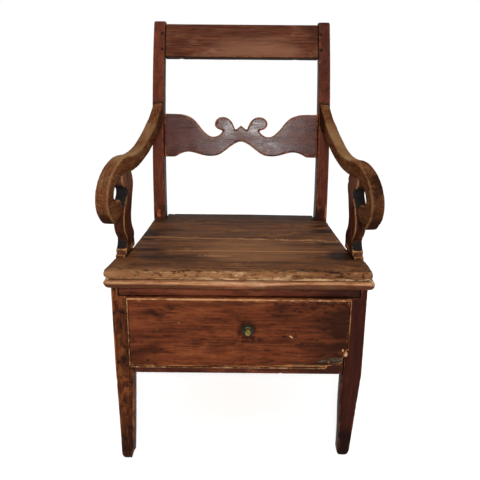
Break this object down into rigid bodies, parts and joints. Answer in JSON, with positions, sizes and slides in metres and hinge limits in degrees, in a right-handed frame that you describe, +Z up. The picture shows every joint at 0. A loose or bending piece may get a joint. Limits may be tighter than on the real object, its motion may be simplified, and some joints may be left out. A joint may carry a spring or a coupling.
{
  "type": "storage armchair",
  "caption": "Joined wooden armchair with scrolled arms on shaped supports, a crest rail and a scrolled back rail between raked posts, and a lipped drawer under a planked seat",
  "frame": {"origin": "on the floor under the middle of the bounding box", "axes": "+Z up, the chair faces -Y, +X is to the right of someone who looks at its front"},
  "size_m": [0.5425, 0.5578, 0.924],
  "materials": {
    "red_brown_wood": "old dark red-brown stain with a worn, waxed surface",
    "dark_brown_wood": "dark brown stain, blotched and rubbed",
    "golden_brown_wood": "golden brown, hand-worn and waxed",
    "seat_wood": "brown planks with dark streaks and pale worn edges",
    "bead_wood": "orange-brown strip with the stain rubbed off",
    "pale_inner_wood": "unfinished softwood, dry and pale",
    "peg_wood": "dark end grain",
    "old_brass": "dull olive brass with a dark tarnish",
    "dark_iron": "dark iron"
  },
  "bodies": {
    "chair": {"left_front_leg": "dark_brown_wood", "right_front_leg": "dark_brown_wood", "left_back_post": "red_brown_wood", "right_back_post": "red_brown_wood", "crest_rail": "red_brown_wood", "left_upper_crest_peg": "peg_wood", "left_lower_crest_peg": "peg_wood", "right_upper_crest_peg": "peg_wood", "right_lower_crest_peg": "peg_wood", "scrolled_back_rail": "red_brown_wood", "front_top_rail": "red_brown_wood", "front_bottom_rail": "red_brown_wood", "back_panel": "dark_brown_wood", "left_side_panel": "dark_brown_wood", "right_side_panel": "dark_brown_wood", "left_arm": "golden_brown_wood", "right_arm": "golden_brown_wood", "left_arm_support": "dark_brown_wood", "right_arm_support": "dark_brown_wood", "left_arm_support_front_screw": "dark_iron", "left_arm_support_back_screw": "dark_iron", "right_arm_support_front_screw": "dark_iron", "right_arm_support_back_screw": "dark_iron", "left_drawer_runner": "pale_inner_wood", "right_drawer_runner": "pale_inner_wood", "left_drawer_guide": "pale_inner_wood", "right_drawer_guide": "pale_inner_wood", "left_kicker": "pale_inner_wood", "right_kicker": "pale_inner_wood", "seat_front_board": "seat_wood", "seat_middle_board": "seat_wood", "seat_rear_board": "seat_wood", "front_moulding": "seat_wood", "left_moulding_return": "seat_wood", "right_moulding_return": "seat_wood"},
    "drawer": {"drawer_front": "red_brown_wood", "drawer_top_bead": "bead_wood", "drawer_left_bead": "bead_wood", "drawer_right_bead": "bead_wood", "drawer_bottom_bead": "bead_wood", "drawer_left_side": "pale_inner_wood", "drawer_right_side": "pale_inner_wood", "drawer_back": "pale_inner_wood", "drawer_bottom": "pale_inner_wood", "drawer_knob": "old_brass", "knob_rose": "old_brass", "knob_nut": "old_brass"}
  },
  "joints": [
    {"name": "drawer_slide", "type": "slide", "parent": "chair", "child": "drawer", "axis": [0, -1, 0], "range_m": [0, 0.25]}
  ]
}
